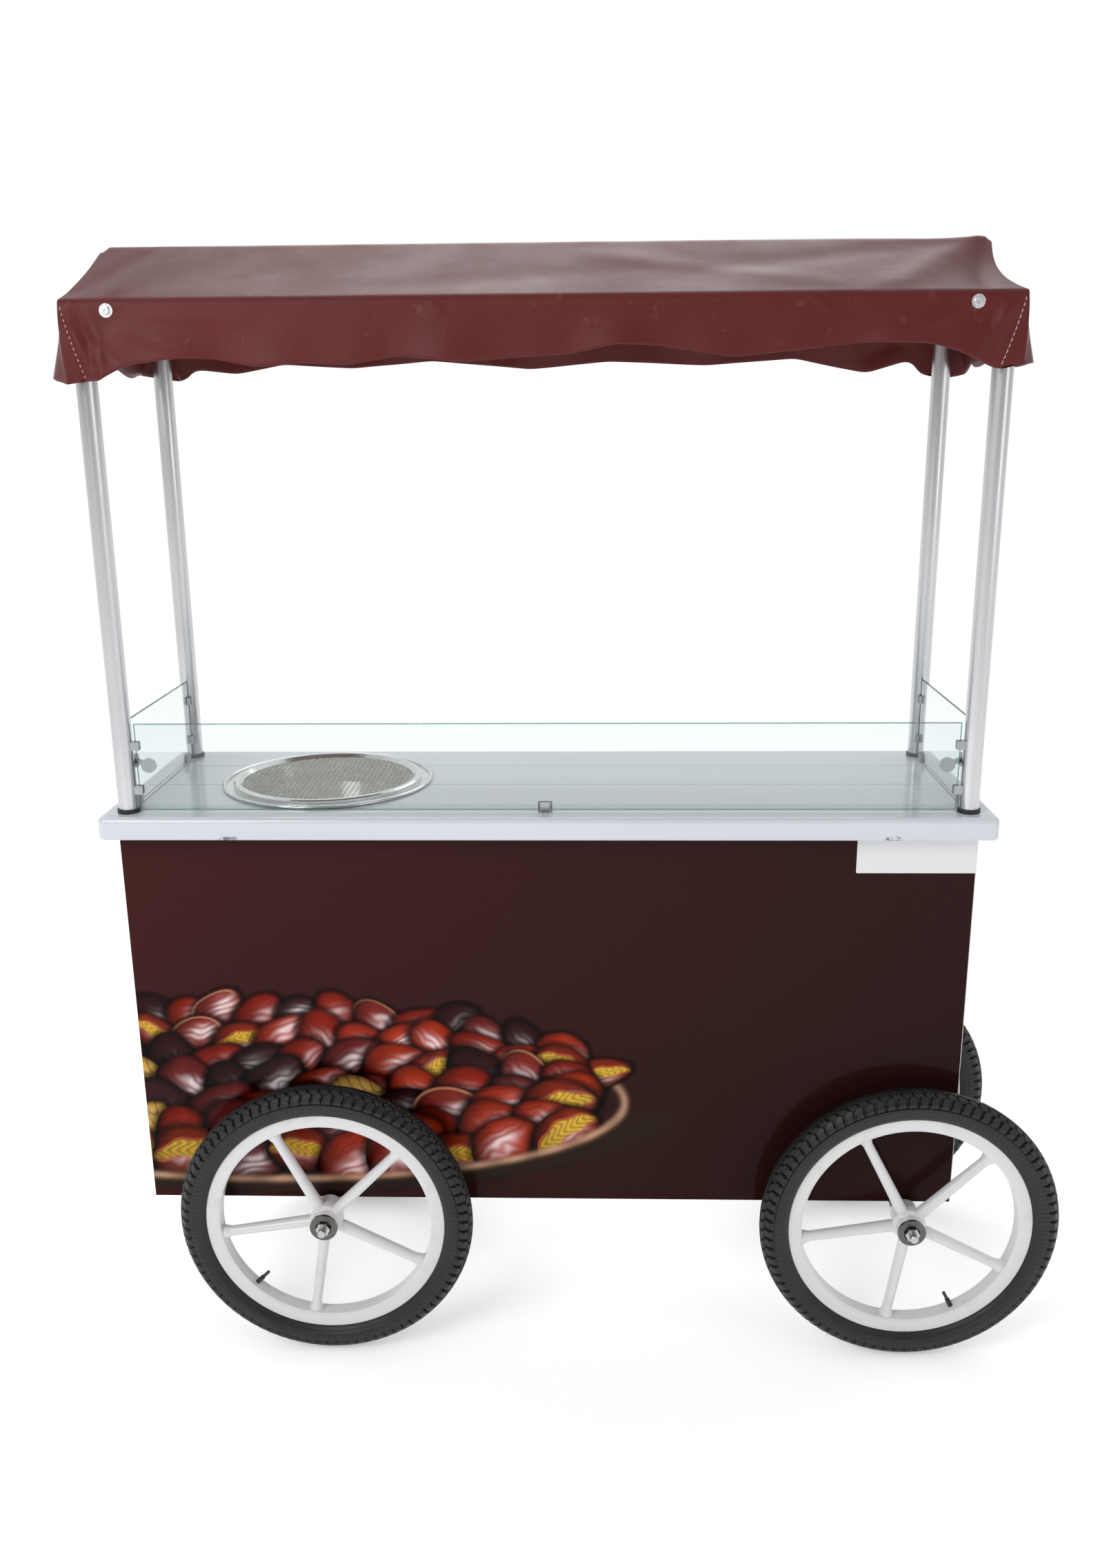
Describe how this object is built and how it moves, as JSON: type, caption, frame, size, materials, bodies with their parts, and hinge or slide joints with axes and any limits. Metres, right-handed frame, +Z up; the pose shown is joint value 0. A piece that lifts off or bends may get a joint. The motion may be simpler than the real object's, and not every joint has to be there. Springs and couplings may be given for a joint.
{
  "type": "push vending cart",
  "caption": "Push vending cart: box cabinet with a laminate counter, inset pan with sieve, glass guard, gable canopy on posts, and bicycle-type spoked wheels.",
  "frame": {"origin": "on the ground, under the middle of the cart's outline", "axes": "+X right as the customer sees the cart, +Y towards the vendor's side, +Z up"},
  "size_m": [1.6169, 0.5826, 1.8839],
  "materials": {
    "tyre": "black, block tread",
    "valve_rubber": "black, satin",
    "rim_white": "white powder coat",
    "hub_steel": "dark plated steel",
    "frame_black": "black semi-gloss paint",
    "zinc_steel": "zinc plated",
    "brown_print": "board with a glossy printed wrap, dark brown",
    "brown_board": "board with a glossy dark brown wrap",
    "white_board": "melamine faced board",
    "counter_laminate": "glossy pale grey laminate",
    "label_white": "blank white film",
    "post_aluminium": "satin drawn tube",
    "ring_rubber": "black",
    "rail_steel": "grey galvanised tube",
    "canopy_vinyl": "maroon coated fabric, semi-gloss",
    "screw_steel": "bright",
    "clear_glass": "clear, green edge",
    "chrome": "polished",
    "pan_steel": "polished stainless steel",
    "mesh_steel": "woven stainless wire"
  },
  "bodies": {
    "root": {"axle_beams": "frame_black", "axle_nuts": "zinc_steel", "axle_plugs": "zinc_steel", "axle_rods": "zinc_steel", "axle_washers": "zinc_steel", "canopy_cover": "canopy_vinyl", "canopy_screws": "screw_steel", "chassis_frame": "frame_black", "corner_connectors": "chrome", "counter_top": "counter_laminate", "eave_rails": "rail_steel", "end_rails": "rail_steel", "floor_panel": "white_board", "frame_hinges": "zinc_steel", "front_panel": "brown_print", "glass_clips": "chrome", "glass_front": "clear_glass", "glass_left": "clear_glass", "glass_right": "clear_glass", "king_posts": "rail_steel", "label_plate": "label_white", "left_panel": "brown_board", "magnet_catches": "ring_rubber", "post_front_left": "post_aluminium", "post_front_right": "post_aluminium", "post_rear_left": "post_aluminium", "post_rear_right": "post_aluminium", "post_rings": "ring_rubber", "post_spigots": "zinc_steel", "ridge_pole": "rail_steel", "right_panel": "brown_board", "shelf": "white_board", "shelf_cleats": "white_board", "top_frame": "frame_black", "uprights": "frame_black"},
    "wheel_front_left": {"rim_front_left": "rim_white", "tyre_front_left": "tyre", "valve_front_left": "valve_rubber", "hub_bearings_front_left": "hub_steel"},
    "wheel_front_right": {"rim_front_right": "rim_white", "tyre_front_right": "tyre", "valve_front_right": "valve_rubber", "hub_bearings_front_right": "hub_steel"},
    "wheel_rear_left": {"rim_rear_left": "rim_white", "tyre_rear_left": "tyre", "valve_rear_left": "valve_rubber", "hub_bearings_rear_left": "hub_steel"},
    "wheel_rear_right": {"rim_rear_right": "rim_white", "tyre_rear_right": "tyre", "valve_rear_right": "valve_rubber", "hub_bearings_rear_right": "hub_steel"},
    "left_door": {"door_left": "brown_board", "door_hinges_left": "zinc_steel", "handle_left": "chrome"},
    "right_door": {"door_right": "brown_board", "door_hinges_right": "zinc_steel", "handle_right": "chrome"},
    "pan": {"ember_pan": "pan_steel"},
    "sieve": {"sieve_ring": "pan_steel", "sieve_mesh": "mesh_steel"}
  },
  "joints": [
    {"name": "front_left_spin", "type": "hinge", "parent": "root", "child": "wheel_front_left", "pos_m": [-0.4665, -0.24, 0.258], "axis": [0, 1, 0], "continuous": true},
    {"name": "front_right_spin", "type": "hinge", "parent": "root", "child": "wheel_front_right", "pos_m": [0.5505, -0.24, 0.258], "axis": [0, 1, 0], "continuous": true},
    {"name": "rear_left_spin", "type": "hinge", "parent": "root", "child": "wheel_rear_left", "pos_m": [-0.4665, 0.24, 0.258], "axis": [0, 1, 0], "continuous": true},
    {"name": "rear_right_spin", "type": "hinge", "parent": "root", "child": "wheel_rear_right", "pos_m": [0.5505, 0.24, 0.258], "axis": [0, 1, 0], "continuous": true},
    {"name": "left_door_swing", "type": "hinge", "parent": "root", "child": "left_door", "pos_m": [-0.777, 0.202, 0.6125], "axis": [0, 0, 1], "range_deg": [0, 110]},
    {"name": "right_door_swing", "type": "hinge", "parent": "root", "child": "right_door", "pos_m": [0.626, 0.202, 0.6125], "axis": [0, 0, -1], "range_deg": [0, 110]},
    {"name": "pan_lift", "type": "slide", "parent": "root", "child": "pan", "axis": [0, 0, 1], "range_m": [0, 0.2]},
    {"name": "sieve_lift", "type": "slide", "parent": "pan", "child": "sieve", "axis": [0, 0, 1], "range_m": [0, 0.12]}
  ]
}
